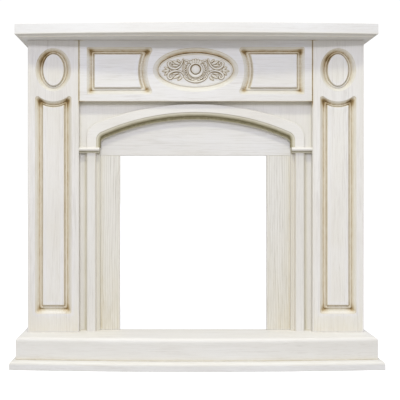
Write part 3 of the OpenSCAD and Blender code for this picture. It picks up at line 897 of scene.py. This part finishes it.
def make_ornament():
    """The cartouche as a closed solid: the carved height above the ground,
    where there is any, over a flat back."""
    b = Build()
    base_y = Y0 + MED_D - 0.02
    on = H > 0.25
    # cells whose four corners are all carved, plus their neighbours
    cell = on[:-1, :-1] | on[1:, :-1] | on[:-1, 1:] | on[1:, 1:]
    # no two cells may meet at a corner only
    for _ in range(40):
        a, b_, c, d = cell[:-1, :-1], cell[:-1, 1:], cell[1:, :-1], cell[1:, 1:]
        k1, k2 = a & d & ~b_ & ~c, b_ & c & ~a & ~d
        if not (k1.any() or k2.any()):
            break
        cell[:-1, 1:] |= k1
        cell[:-1, :-1] |= k2
    used = np.zeros_like(on)
    used[:-1, :-1] |= cell
    used[1:, :-1] |= cell
    used[:-1, 1:] |= cell
    used[1:, 1:] |= cell
    idx = -np.ones(on.shape, int)
    idx[used] = np.arange(used.sum())
    top = np.stack([GU[used], base_y - np.where(H[used] > 0.25, H[used], 0.0), GV[used] + OVAL_Z], 1)
    t0 = b.ring(top, ORN_PAT[used])
    bot = top.copy()
    bot[:, 1] = base_y + 0.5
    b0 = b.ring(bot, 0.6)
    I, J = np.nonzero(cell)
    A, B_, C, D = idx[I, J], idx[I, J + 1], idx[I + 1, J + 1], idx[I + 1, J]
    for q in zip(A, B_, C, D):
        b.f.append(tuple(int(t0[k]) for k in q))
        b.f.append(tuple(int(b0[k]) for k in q[::-1]))
    # walls where a used cell borders an unused one
    pad = np.pad(cell, 1)
    for di, dj, e in ((-1, 0, (0, 1)), (1, 0, (3, 2)), (0, -1, (0, 3)), (0, 1, (1, 2))):
        nb = pad[1 + di:pad.shape[0] - 1 + di, 1 + dj:pad.shape[1] - 1 + dj]
        k = cell[I, J] & ~nb[I, J]
        quad = np.stack([A, B_, C, D], 1)[k]
        for r in quad:
            p, q = int(r[e[0]]), int(r[e[1]])
            b.f.append((int(t0[p]), int(t0[q]), int(b0[q]), int(b0[p])))
    return finish_piece("carved_cartouche", b, M_ORN, ["medallion_ornament"],
                        sharp=60.0, clean=False)


make_ornament()

# -------------------------------------------------------------- inner arch
ARCH_HW, ARCH_Z, ARCH_R, ARCH_CR = 321.0, 802.0, 753.0, 29.0
ARCH_OUT = ARCHV[1][0]
CAP_Z1 = CAP[1][2]
CAP_Z0 = CAP_Z1 - 12.0


def arch_path(hw, zt, r, cr, o, z_low, n_c=18, n_m=96, n_l=4):
    zm = zt - r
    cx = hw - cr
    cz = zm + math.sqrt((r - cr) ** 2 - cx * cx)
    a = math.degrees(math.atan2(cz - zm, cx))
    side = np.stack([np.full(n_l, hw + o), np.linspace(z_low, cz, n_l + 1)[:-1]], 1)
    ca = arc(cx, cz, cr + o, 0, a, n_c)
    ma = arc(0, zm, r + o, a, 180 - a, n_m)[1:-1]
    cb = arc(-cx, cz, cr + o, 180 - a, 180, n_c)
    left = side[::-1].copy()
    left[:, 0] *= -1
    return np.concatenate([side, ca, ma, cb, left])


def make_archivolt():
    b = Build()
    y_face = ARCHV[0][1]
    y_back = ARCHV[1][1]
    ins = lambda o: arch_path(ARCH_HW, ARCH_Z, ARCH_R, ARCH_CR, o, CAP_Z1)
    out = lambda o: arch_path(ARCH_OUT, ARCH_Z + 25, 870, 50, o, CAP_Z1)
    # patina rises to 0.95 down the inner hollow and to 0.65 down the outer side: painted shade on these downward
    # and back faces, over a thin glaze
    rows = [(-15.0, 0, y_back, 0.95), (-15.0, 0, y_back - 1.2, 0.90), (-14.6, 0, y_back - 2.0, 0.82)]
    for u in np.linspace(1, 0.1, 9):
        k = 1 - math.sqrt(max(0.0, 1 - u * u))
        rows.append((lerp(-2.4, -14.4, u), 0, y_face + 2.0 + 7.6 * k, 0.30 + 0.48 * u))
    rows += [(-1.8, 0, y_face + 1.9, 0.48), (-1.5, 0, y_face + 1.2, 0.50), (-1.2, 0, y_face + 0.5, 0.26),
             (-0.6, 0, y_face + 0.12, 0.14), (0.2, 0, y_face, 0.06), (1.6, 0, y_face, 0.03)]
    for s in (0.25, 0.5, 0.75):
        rows.append((0, s, y_face, 0.02))
    rows += [(0, 0.90, y_face, 0.02), (0, 0.94, y_face + 0.12, 0.04), (0, 0.975, y_face + 0.8, 0.06),
             (0, 0.995, y_face + 2.0, 0.10), (0, 1.0, y_face + 3.6, 0.18), (0, 1.0, y_face + 8.0, 0.28),
             (0, 1.0, y_back - 0.6, 0.60), (0, 1.0, y_back, 0.65)]
    O = out(0)
    sections = []
    for o, s, y, p in rows:
        I = ins(o)
        P = I + (O - I) * s
        sections.append(b.ring(on_y(P, y), p))
    b.lofts(sections, closed=False)
    b.loft(sections[-1], sections[0], closed=False)
    b.cap([s[0] for s in sections])
    b.cap([s[-1] for s in sections][::-1])
    return finish_piece("archivolt_moulding", b, M_ARCH, ["archivolt"])


make_archivolt()


def make_portal():
    b = Build()
    y0, y1 = PORTAL[0][1], PORTAL[1][1]
    z0, z1 = PORTAL[0][2], PORTAL[1][2]
    X = PORTAL[1][0]
    hw = 309.0

    def outline(o, y, pat):
        P = arch_path(hw, 778.0, 741.0, 25.0, o, z0, n_l=40)[::-1]
        outer = np.array([[X, z0], [X, z1], [-X, z1], [-X, z0]])
        # left foot, over the arch, right foot, then round the outside
        Q = np.concatenate([P, outer])
        pp = np.concatenate([np.full(len(P), pat), np.full(4, 0.1)])
        return b.ring(on_y(Q, y), pp), len(P)

    def arch_gap(x, z):
        # distance inside the board from the arched edge, above the springing
        ang = np.hypot(x, z - 37.0) - 741.0
        return np.where(z > 675, np.maximum(ang, np.abs(x) - 309.0), 99.0)

    def pat(x, z):
        ax = np.abs(x)
        q = np.where(z < 675, 0.03, 0.02)
        # the bands at |X| 355 and 319 beside each leg are painted shade of the leg, over glaze in the corner
        q = q + 0.36 * np.exp(-((ax - 355) / 5.0) ** 2) * (z < 675) + 0.12 * np.exp(-((ax - 319) / 4.0) ** 2) * (z < 675)
        # the band just below the frieze (z up to 834) is painted shade under the frieze, over an olive glaze line
        q = q + 0.34 * np.exp(-((834 - z) / 8.5) ** 2) * (z > 675) * (z < 836)
        q = q + 0.05 * edge_glow(374 - ax, 4) + 0.14 * edge_glow(374 - ax, 4) * (z > 675)
        q = q + np.where(z < 676, 0.10 * edge_glow(z - 95, 60), 0)
        # the strip within 18 mm of the arched edge is darkened: painted shade under the archivolt, over an olive
        # glaze
        g = arch_gap(x, z)
        q = q + 0.75 * np.clip(1 - (g - 9) / 9, 0, 1) * (z > 675)
        q = q + 0.04 * (hash_noise(x, z, 40, 8) - 0.3)
        return np.clip(q, 0, 1)

    # the rings round the arched edge carry 0.8 down to 0.3: painted shade on the board's edge under the archivolt
    rings = []
    for o, y, p in ((6.0, y0, 0.80), (1.8, y0, 0.70), (0.9, y0 + 0.25, 0.5), (0.25, y0 + 0.9, 0.55),
                    (0.0, y0 + 1.8, 0.6), (0.0, y0 + 8, 0.35), (0.0, y1, 0.3)):
        r, n = outline(o, y, p)
        rings.append(r)
    b.lofts(rings)
    b.fill(rings[0], spacing=5.0, pat=pat, keep=2.0)
    b.fill(rings[-1], spacing=0)
    V = np.array(b.v)
    P = np.array(b.p)
    low = (V[:, 2] < 672) & (np.abs(V[:, 0]) < 330)
    P[low] *= 0.38
    b.p = P.tolist()
    return finish_piece("portal_panel", b, M_PORTAL, ["portal_board"])


make_portal()


def prism(b, section, z0, z1, pats, n=1, cap_r=0.0):
    """Closed section in x-y run up from z0 to z1."""
    S = np.array(section)
    rings = []
    for z in np.linspace(z0, z1, n + 1):
        rings.append(b.ring(np.column_stack([S, np.full(len(S), z)]), pats))
    b.lofts(rings)
    b.cap(rings[0][::-1])
    b.cap(rings[-1])


def make_leg(side):
    b = Build()
    x0, x1 = LEG[0][0], LEG[1][0]
    y0, y1 = LEG[0][1], LEG[1][1]
    r = 4.0
    sec, pats = [(x1, y1), (x0, y1)], [0.6, 0.6]
    for a in np.linspace(180, 270, 9):
        sec.append((x0 + r + r * math.cos(math.radians(a)), y0 + r + r * math.sin(math.radians(a))))
        pats.append(0.30 - 0.26 * (a - 180) / 90)
    for x in np.linspace(x0 + r, x1 - r, 6)[1:-1]:
        sec.append((x, y0))
        pats.append(0.02)
    for a in np.linspace(270, 360, 9):
        sec.append((x1 - r + r * math.cos(math.radians(a)), y0 + r + r * math.sin(math.radians(a))))
        pats.append(0.04 + 0.26 * (a - 270) / 90)
    sec = [(side * x, y) for x, y in sec]
    prism(b, sec, LEG[0][2], LEG[1][2], pats, n=30)
    name = "right" if side > 0 else "left"
    return finish_piece("leg_strip_" + name, b, M_LEG, ["leg_" + name], sharp=40)


make_leg(1)
make_leg(-1)


def make_capital(side):
    b = Build()
    x0, x1 = CAP[0][0], CAP[1][0]
    yb = CAP[1][1]
    yf = CAP[0][1]
    zc = (CAP_Z0 + CAP_Z1) / 2
    r = (CAP_Z1 - CAP_Z0) / 2
    # the round's underside and the rows below it are darkened: painted shade under the capital, over a little
    # glaze
    prof = [(yb, CAP_Z1 - 0.2, 0.2)]
    for a in np.linspace(90, 270, 17):
        prof.append((yf + r + r * math.cos(math.radians(a)), zc + r * math.sin(math.radians(a)),
                     0.06 + 0.5 * max(0.0, (a - 215) / 55)))
    prof += [(yf + 8.6, CAP_Z0 - 0.3, 0.75), (yf + 9.2, CAP_Z0 - 1.0, 0.7), (yf + 9.3, CAP_Z0 - 3.0, 0.35),
             (yf + 10.0, CAP_Z0 - 4.4, 0.4), (yf + 11.0, CAP_Z0 - 5.4, 0.55), (yf + 11.6, CAP_Z0 - 6.0, 0.6),
             (yb, CAP_Z0 - 6.0, 0.6)]
    rings = []
    ends = [(x0 + 1.2, 1.2), (x0 + 0.35, 0.35), (x0, 0.0)][::-1]
    xs = [(x0, 1.2), (x0 + 0.35, 0.45), (x0 + 1.2, 0.0), ((x0 + x1) / 2, 0.0), (x1, 0.0)]
    for x, e in xs:
        pts, pats = [], []
        for y, z, p in prof:
            yy = y + e if y < yb - 0.1 else y
            zz = z - e * np.sign(z - zc) * min(1, abs(z - zc) / 4)
            pts.append((side * x, yy, zz))
            pats.append(min(1, p + (0.15 if x == x0 else 0)))
        rings.append(b.ring(pts, pats))
    b.lofts(rings)
    b.cap(rings[0][::-1])
    b.cap(rings[-1])
    name = "right" if side > 0 else "left"
    return finish_piece("capital_block_" + name, b, M_ARCH, ["capital_" + name], sharp=40)


make_capital(1)
make_capital(-1)


# ----------------------------------------------------------------- surround
def make_surround(side):
    b = Build()
    s0, s1 = SUR if side > 0 else SUR_L
    x0, x1 = s0[0], s1[0]
    inner = min(abs(x0), abs(x1))

    def pat(x, z):
        ax = np.abs(x)
        q = 0.03 + 0.20 * edge_glow(308 - ax, 9) + 0.10 * edge_glow(ax - inner, 5)
        q = q + 0.16 * np.clip((470 - z) / 375, 0, 1) ** 1.2 * (0.55 + 0.9 * hash_noise(x * 6, z, 60, 9))
        return np.clip(q, 0, 1)

    board(b, x0, x1, SUR[0][2], SUR[1][2], SUR[0][1], SUR[1][1], r=1.2, pat=pat,
          edge_pat=0.18, spacing=7.0, side_pat=0.12)
    name = "right" if side > 0 else "left"
    return finish_piece("surround_panel_" + name, b, M_SUR, ["surround_" + name])


make_surround(1)
make_surround(-1)


def make_head():
    b = Build()

    def pat(x, z):
        q = 0.03 + 0.10 * edge_glow(z - HEAD[0][2], 5) + 0.03 * hash_noise(x, z, 50, 10)
        zin = 37 + np.sqrt(np.clip(741 ** 2 - x ** 2, 0, None))
        q = q + 0.10 * edge_glow(np.maximum(zin - z, 0), 7) * (z < zin + 2)
        return np.clip(q, 0, 1)

    board(b, HEAD[0][0], HEAD[1][0], HEAD[0][2], HEAD[1][2], HEAD[0][1], HEAD[1][1], r=1.2,
          pat=pat, edge_pat=0.18, spacing=9.0, side_pat=0.12)
    return finish_piece("surround_panel_head", b, M_HEAD, ["surround_head"])


make_head()


# ------------------------------------------------------------ side cheeks
def make_cheek(side):
    b = Build()
    x0, x1 = CHEEK[0][0], CHEEK[1][0]
    y0, y1 = CHEEK[0][1], CHEEK[1][1]
    z0, z1 = CHEEK[0][2], CHEEK[1][2]
    ys = np.linspace(y0, y1, 20)
    zs = np.linspace(z0, z1, 60)
    r = 1.5
    # outline in x-y with an eased outer back edge, run up in z
    sec = [(x0, y0), (x0, y1)]
    for a in np.linspace(90, 0, 5):
        sec.append((x1 - r + r * math.cos(math.radians(a)), y1 - r + r * math.sin(math.radians(a))))
    for y in ys[::-1][1:]:
        sec.append((x1, y))
    S = np.array([(side * x, y) for x, y in sec])
    rings = []
    for z in zs:
        q = []
        for x, y in S:
            v = 0.02 + 0.06 * math.exp(-(y - y0) / 8) + 0.10 * math.exp(-(z - z0) / 30)
            v += 0.04 * (float(hash_noise(y, z, 45, 11 + side)) - 0.3)
            q.append(max(0, v))
        rings.append(b.ring(np.column_stack([S, np.full(len(S), z)]), q))
    b.lofts(rings)
    b.cap(rings[0][::-1])
    b.cap(rings[-1])
    name = "right" if side > 0 else "left"
    return finish_piece("side_cheek_board_" + name, b, M_CHEEK, ["side_cheek_" + name])


make_cheek(1)
make_cheek(-1)

# ------------------------------------------------------------ bowed boards
BOW = 28.0


def bowed_plan(hw, yf, e, n=72, n_side=14):
    """Plan outline set in by e at the front and the ends: the bow, then the
    right side to the back, and the left side from the back; the back itself is left out."""
    r = (hw * hw + BOW * BOW) / (2 * BOW)
    yc = yf + r
    a = math.asin((hw - e) / (r - e))
    w = np.linspace(-a, a, n + 1)
    front = np.stack([(r - e) * np.sin(w), yc - (r - e) * np.cos(w)], 1)
    s0 = front[-1]
    side = np.stack([np.full(n_side, hw - e), np.linspace(s0[1], YB, n_side + 1)[1:]], 1)
    left = side[::-1].copy()
    left[:, 0] *= -1
    return front, side, left


def bowed_board(b, hw, yf, edge, inner=None, top_pat=None, n_back=28):
    """edge rows are [set in, height, patina]; inner is (half width, y) of a
    rectangle cut from the back."""
    rings = []
    for e, z, p in edge:
        front, side, left = bowed_plan(hw, yf, e)
        if inner is None:
            xs = np.linspace(hw - e, e - hw, n_back + 1)[1:-1]
            back = np.stack([xs, np.full(len(xs), YB)], 1)
        else:
            hx, hy = inner
            back = np.array([[hx, YB], [hx, hy], [-hx, hy], [-hx, YB]])
        P = np.concatenate([front, side, back, left])
        rings.append(b.ring(np.column_stack([P, np.full(len(P), z)]), p))
    b.lofts(rings)
    b.fill(rings[0], axis="z", spacing=0)
    b.fill(rings[-1], axis="z", spacing=14.0, pat=top_pat, keep=4.0)


def round_top(z0, z1, r, p_low, p_face, p_round, r0=0.8):
    rows = [(r0, z0, p_low), (0.25, z0 + r0 * 0.4, p_low), (0.0, z0 + r0, p_low * 0.8),
            (0.0, z0 + 3.0, p_low * 0.45 + p_face * 0.5)]
    for z in np.linspace(z0 + 5, z1 - r, 5)[:]:
        rows.append((0.0, z, p_face))
    for i in range(1, 9):
        a = math.radians(90 * i / 8)
        rows.append((r - r * math.cos(a), z1 - r + r * math.sin(a), p_round))
    rows += [(r + 2.5, z1, p_round), (r + 9.0, z1, p_round * 0.6)]
    return rows


def top_noise(seed, k=0.04):
    def f(x, y):
        return np.clip(0.02 + k * hash_noise(x, y, 60, seed), 0, 1)
    return f


b = Build()
# top_noise(20, 0.12) darkens the hearth's top more than the shelf's: painted shade, toning down the overhead light
# on it
bowed_board(b, HEARTH[1][0], HEARTH[0][1], round_top(0.0, HEARTH[1][2], 10.0, 0.05, 0.02, 0.12),
            top_pat=top_noise(20, 0.12))
finish_piece("hearth_plank", b, M_HEARTH, ["hearth_board"])


def plinth_pat(x, y):
    q = 0.02 + 0.04 * hash_noise(x, y, 60, 21)
    q = q + 0.12 * edge_glow(np.abs(y - Y0) * (np.abs(x) > 374) + (np.abs(x) <= 374) * 99, 5)
    q = q + 0.12 * edge_glow(np.abs(y - (Y0 + 44)) + (np.abs(x) > 320) * 99, 6)
    return np.clip(q, 0, 1)


b = Build()
bowed_board(b, PTOP[1][0], PTOP[0][1], round_top(PTOP[0][2], PTOP[1][2], 12.0, 0.05, 0.05, 0.03, r0=0.3),
            inner=(500.0, Y0 + 60.0), top_pat=plinth_pat)
finish_piece("plinth_top_board", b, M_PLINTH, ["plinth_top"])


def make_apron():
    b = Build()
    hw = PAPR[1][0]
    yf = PAPR[0][1]
    r = (hw * hw + BOW * BOW) / (2 * BOW)
    wall = 18.0
    z0, z1 = PAPR[0][2], PAPR[1][2]
    # patina rises towards the bottom edge: painted shade along the joint with the hearth board, over a little
    # glaze
    rows = [(1.0, z0, 0.42), (0.3, z0 + 0.5, 0.40), (0, z0 + 1.4, 0.34), (0, z0 + 4.0, 0.22), (0, z0 + 8.0, 0.12),
            (0, z0 + 14, 0.05), (0, z0 + 26, 0.04), (0, z0 + 38, 0.04), (0, z1, 0.05)]
    rings = []
    for e, z, p in rows:
        front, _, _ = bowed_plan(hw, yf, e)
        rb = r - wall
        yc = yf + r
        yb = PAPR[1][1]
        w = math.asin(hw / rb)
        wb = np.linspace(w, -w, 73)
        back = np.stack([rb * np.sin(wb) * (hw - e) / hw, yc - rb * np.cos(wb)], 1)
        P = np.concatenate([front, back])
        pp = np.concatenate([np.full(len(front), p), np.full(len(back), 0.05)])
        rings.append(b.ring(np.column_stack([P, np.full(len(P), z)]), pp))
    b.lofts(rings)
    b.fill(rings[0], axis="z", spacing=0)
    b.fill(rings[-1], axis="z", spacing=0)
    return finish_piece("plinth_front_apron", b, M_PLINTH, ["plinth_apron"])


make_apron()


def make_plinth_end(side):
    b = Build()
    x0, x1 = PEND[0][0], PEND[1][0]
    y0, y1 = PEND[0][1], PEND[1][1]
    z0, z1 = PEND[0][2], PEND[1][2]
    S = np.array([(x0, y0), (x0, y1), (x1 - 1, y1), (x1, y1 - 1)] + [(x1, y) for y in np.linspace(y1 - 6, y0, 18)])
    S[:, 0] *= side
    rings = []
    # patina rises towards the bottom edge: painted shade along the joint with the hearth board, over a little
    # glaze
    for z, e, p in ((z0, 1.0, 0.4), (z0 + 1, 0, 0.35), (z0 + 5, 0, 0.16), (z0 + 12, 0, 0.06), (z1, 0, 0.05)):
        Q = S.copy()
        Q[2:, 0] -= side * e
        rings.append(b.ring(np.column_stack([Q, np.full(len(Q), z)]), p))
    b.lofts(rings)
    b.fill(rings[0], axis="z", spacing=0)
    b.fill(rings[-1], axis="z", spacing=0)
    name = "right" if side > 0 else "left"
    return finish_piece("plinth_end_board_" + name, b, M_PLINTH, ["plinth_end_" + name])


make_plinth_end(1)
make_plinth_end(-1)


def make_shelf():
    b = Build()
    zs, zt = SHELF[0][2], SHELF[1][2]
    ch, cd = 8.5, 14.0
    # the cove under the shelf's front is darkened: painted shade on the downward faces, over a little glaze
    rows = [(cd + 14.0, zs, 0.10), (cd + 5.0, zs, 0.12), (cd + 0.6, zs, 0.26), (cd, zs + 0.3, 0.32),
            (cd, zs + 1.0, 0.34)]
    for u in np.linspace(0.08, 1, 12):
        a = u * math.pi / 2
        rows.append((cd * math.cos(a) * 0.96 + 0.0, zs + 1.0 + (ch - 1.4) * math.sin(a), 0.22 - 0.08 * u))
    rows += [(0.25, zs + ch - 0.2, 0.24), (0.0, zs + ch + 0.4, 0.14), (0.0, zs + ch + 2.0, 0.08),
             (0.0, zs + ch + 5.0, 0.02)]
    for z in np.linspace(zs + ch + 9, zt - 3.2, 4):
        rows.append((0.0, z, 0.0))
    for i in range(1, 7):
        a = math.radians(90 * i / 6)
        rows.append((2.6 - 2.6 * math.cos(a), zt - 2.6 + 2.6 * math.sin(a), 0.02))
    rows += [(5.0, zt, 0.0), (12.0, zt, 0.0)]
    bowed_board(b, SHELF[1][0], SHELF[0][1], rows, top_pat=top_noise(22, 0.03))
    return finish_piece("mantel_shelf_board", b, M_SHELF, ["mantel_shelf"])


make_shelf()

# ----------------------------------------------------------- floor and light
floor_me = bpy.data.meshes.new("studio_floor")
S = 30.0
floor_me.from_pydata([(-S, -S, 0), (S, -S, 0), (S, S, 0), (-S, S, 0)], [], [(0, 1, 2, 3)])
floor = bpy.data.objects.new("studio_floor", floor_me)
scene.collection.objects.link(floor)
fm = bpy.data.materials.new("studio_floor")
fm.use_nodes = True
ft = fm.node_tree
ft.nodes.clear()
f_out = ft.nodes.new("ShaderNodeOutputMaterial")
f_seen = ft.nodes.new("ShaderNodeBsdfPrincipled")
f_seen.inputs["Base Color"].default_value = (0.72, 0.72, 0.73, 1)
f_seen.inputs["Roughness"].default_value = 1.0
f_seen.inputs["Specular IOR Level"].default_value = 0.0
f_seen.inputs["Emission Color"].default_value = (1, 1, 1, 1)
f_seen.inputs["Emission Strength"].default_value = 0.46
f_lit = ft.nodes.new("ShaderNodeBsdfDiffuse")
f_lit.inputs["Color"].default_value = (0.55, 0.54, 0.53, 1)
f_path = ft.nodes.new("ShaderNodeLightPath")
f_mix = ft.nodes.new("ShaderNodeMixShader")
ft.links.new(f_path.outputs["Is Camera Ray"], f_mix.inputs["Fac"])
ft.links.new(f_lit.outputs["BSDF"], f_mix.inputs[1])
ft.links.new(f_seen.outputs["BSDF"], f_mix.inputs[2])
ft.links.new(f_mix.outputs["Shader"], f_out.inputs["Surface"])
floor_me.materials.append(fm)
floor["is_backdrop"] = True

world = bpy.data.worlds.new("studio")
scene.world = world
world.use_nodes = True
wt = world.node_tree
wt.nodes.clear()
wo = wt.nodes.new("ShaderNodeOutputWorld")
soft = wt.nodes.new("ShaderNodeBackground")
soft.inputs["Color"].default_value = (0.950, 0.955, 1.0, 1)
soft.inputs["Strength"].default_value = 0.65
white = wt.nodes.new("ShaderNodeBackground")
white.inputs["Color"].default_value = (1, 1, 1, 1)
white.inputs["Strength"].default_value = 1.05
lp = wt.nodes.new("ShaderNodeLightPath")
mx = wt.nodes.new("ShaderNodeMixShader")
wt.links.new(lp.outputs["Is Camera Ray"], mx.inputs["Fac"])
wt.links.new(soft.outputs["Background"], mx.inputs[1])
wt.links.new(white.outputs["Background"], mx.inputs[2])
wt.links.new(mx.outputs["Shader"], wo.inputs["Surface"])


def sun(name, elev, azim, strength, angle, color):
    d = bpy.data.lights.new(name, "SUN")
    d.energy = strength
    d.angle = math.radians(angle)
    d.color = color
    o = bpy.data.objects.new(name, d)
    e, a = math.radians(elev), math.radians(azim)
    # direction from which the light comes
    src = Vector((math.sin(a) * math.cos(e), -math.cos(a) * math.cos(e), math.sin(e)))
    o.rotation_euler = src.to_track_quat("Z", "Y").to_euler()
    o.location = src * 5
    scene.collection.objects.link(o)
    return o


def softbox(name, at, aim, size, power, color):
    d = bpy.data.lights.new(name, "AREA")
    d.shape = "RECTANGLE"
    d.size, d.size_y = size
    d.energy = power
    d.color = color
    o = bpy.data.objects.new(name, d)
    o.location = at
    o.rotation_euler = (Vector(at) - Vector(aim)).to_track_quat("Z", "Y").to_euler()
    scene.collection.objects.link(o)
    return o


sun("front_low", 20, -4, 0.62, 4.0, (0.905, 0.918, 1.0))
softbox("front_box", (-0.12, -1.70, 1.75), (0.0, 0.0, 0.95), (0.5, 0.18), 4.4, (0.925, 0.935, 1.0))
softbox("key_high", (-0.20, -1.35, 2.75), (0.0, 0.0, 0.95), (0.7, 0.25), 20.5, (1.0, 0.985, 0.75))
sun("overhead", 76, -4, 0.86, 15.0, (1.0, 0.99, 0.99))

scene.view_settings.view_transform = "Standard"
scene.view_settings.look = "None"
scene.view_settings.exposure = 0.0
scene.view_settings.gamma = 1.0

{"cad": plain(cad_bounds), "visual": plain(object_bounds())}
